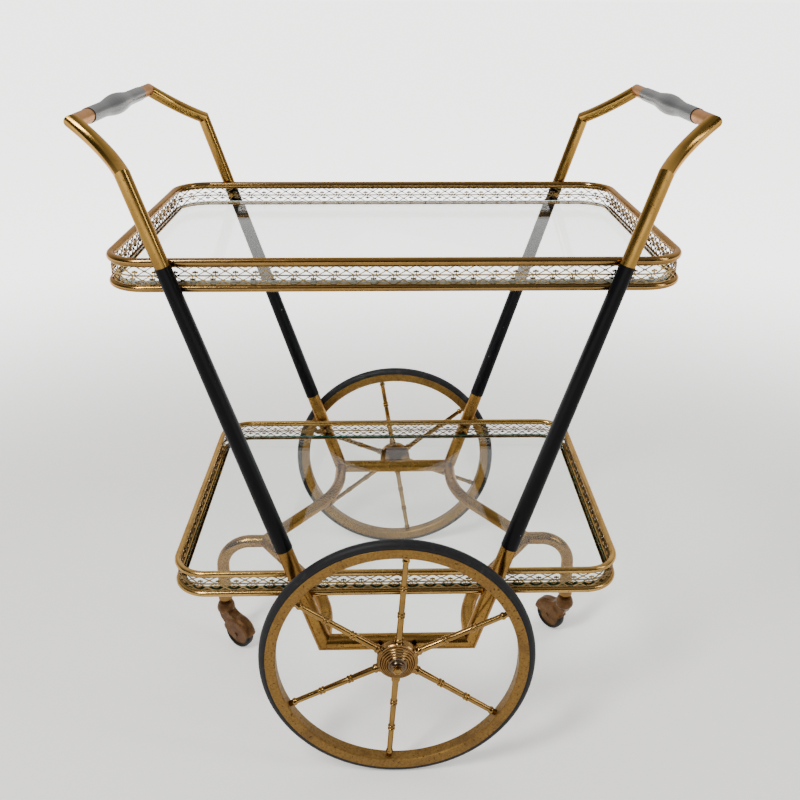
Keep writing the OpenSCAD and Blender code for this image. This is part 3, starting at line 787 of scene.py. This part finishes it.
# name, place and target in metres, size of the box in metres, power in watts
SOFT_BOXES = (
    ("key", (-1.1, -1.3, 2.3), (0, 0, 0.4), (0.45, 1.1), 70),
    ("top", (0.4, 0.5, 2.6), (0, 0, 0.3), (6.0, 6.0), 42),
    ("fill", (1.9, -0.9, 1.5), (0, 0, 0.4), (0.3, 1.3), 16),
)


def add_floor():
    corners = [(x * FLOOR_HALF, y * FLOOR_HALF, 0) for x, y in ((-1, -1), (1, -1), (1, 1), (-1, 1))]
    floor = piece("floor", corners, [(0, 1, 2, 3)], floor_paint_and_glow(), smooth=0)


def area_light(name, place, target, size, power):
    data = bpy.data.lights.new(name, "AREA")
    data.shape = "RECTANGLE"
    data.size, data.size_y = size
    data.energy = power
    lamp = bpy.data.objects.new(name, data)
    lamp.location = place
    lamp.rotation_mode = "QUATERNION"
    lamp.rotation_quaternion = (Vector(target) - Vector(place)).to_track_quat("-Z", "Y")
    bpy.context.scene.collection.objects.link(lamp)


def add_room():
    """A pale room, dimmer on the camera's side, that the camera itself sees as an even white."""
    world = bpy.data.worlds.new("studio")
    bpy.context.scene.world = world
    world.use_nodes = True
    tree = world.node_tree
    background = tree.nodes["Background"]
    background.inputs["Color"].default_value = ROOM_COLOUR
    backdrop = tree.nodes.new("ShaderNodeBackground")
    backdrop.inputs["Color"].default_value = BACKDROP
    split = tree.nodes.new("ShaderNodeSeparateXYZ")
    tree.links.new(tree.nodes.new("ShaderNodeTexCoord").outputs["Generated"], split.inputs[0])
    shade = tree.nodes.new("ShaderNodeMapRange")
    shade.interpolation_type = "SMOOTHSTEP"
    shade.inputs["From Min"].default_value, shade.inputs["From Max"].default_value = ROOM_FADE
    shade.inputs["To Min"].default_value = ROOM_DIM
    shade.inputs["To Max"].default_value = ROOM_BRIGHT
    tree.links.new(split.outputs["Y"], shade.inputs["Value"])
    tree.links.new(shade.outputs[0], background.inputs["Strength"])
    ray = tree.nodes.new("ShaderNodeLightPath")
    mix = tree.nodes.new("ShaderNodeMixShader")
    tree.links.new(ray.outputs["Is Camera Ray"], mix.inputs[0])
    tree.links.new(background.outputs[0], mix.inputs[1])
    tree.links.new(backdrop.outputs[0], mix.inputs[2])
    tree.links.new(mix.outputs[0], tree.nodes["World Output"].inputs["Surface"])


# ---------------------------------------------------------------- assembly

# start of the node's name, material
LOOKS = (
    ("bottom_bar", "low_brass"),
    ("lower_leg", "low_brass"),
    ("leg_sleeve", "lacquer"),
    ("upper_leg", "leg_brass"),
    ("handle_arm", "handle_brass"),
    ("handle_rods", "steel"),
    ("handle_ferrules", "ferrule_brass"),
    ("handle_grip", "grip"),
    ("upper_top", "rail_brass"),
    ("upper_bottom", "rail_brass"),
    ("upper_ledge", "rail_brass"),
    ("lower_top", "low_rail_brass"),
    ("lower_bottom", "low_rail_brass"),
    ("lower_ledge", "low_brass"),
    ("tray_screws", "bright_brass"),
    ("caster_branch", "low_brass"),
    ("caster_neck", "low_brass"),
    ("caster_ferrule", "hub_brass"),
    ("wheel_axles", "steel"),
    ("front_rim", "rim"),
    ("back_rim", "rim"),
    ("front_tyre", "tyre"),
    ("back_tyre", "tyre"),
    ("left_fork", "hood"),
    ("right_fork", "hood"),
    ("left_caster_axle", "hood"),
    ("right_caster_axle", "hood"),
    ("left_caster_wheel", "hood"),
    ("right_caster_wheel", "hood"),
    ("left_caster_tyre", "roller"),
    ("right_caster_tyre", "roller"),
)
CAD_SMOOTH = 30


def dress_cad_nodes(materials):
    """Gives every carried-over node its material, and smooth shading up to its real edges."""
    for name, node in NODES.items():
        for start, look in LOOKS:
            if name.startswith(start):
                node.data.materials.clear()
                node.data.materials.append(materials[look])
                break
        node.data.shade_smooth()
        node.data.set_sharp_from_angle(angle=math.radians(CAD_SMOOTH))


add_camera()
add_floor()
add_room()
for soft_box in SOFT_BOXES:
    area_light(*soft_box)

MATERIALS = make_materials()
dress_cad_nodes(MATERIALS)
gallery("upper", MATERIALS["strip_brass"])
gallery("lower", MATERIALS["strip_brass"])
# the upper plate's edge is painted light, the lower plate's edge painted shade over the glass's own green
shelf("upper", MATERIALS["glass_face"], MATERIALS["pale_edge"])
shelf("lower", MATERIALS["glass_face"], MATERIALS["dark_edge"])
for wheel_side, wheel in ((FRONT, "front"), (BACK, "back")):
    spokes(wheel_side, wheel, MATERIALS["bright_brass"])
    hub(wheel_side, wheel, MATERIALS["hub_brass"])
    dome_cap(wheel_side, wheel, MATERIALS["cap_bronze"])
    axle_nut(wheel_side, wheel, MATERIALS["bright_brass"])
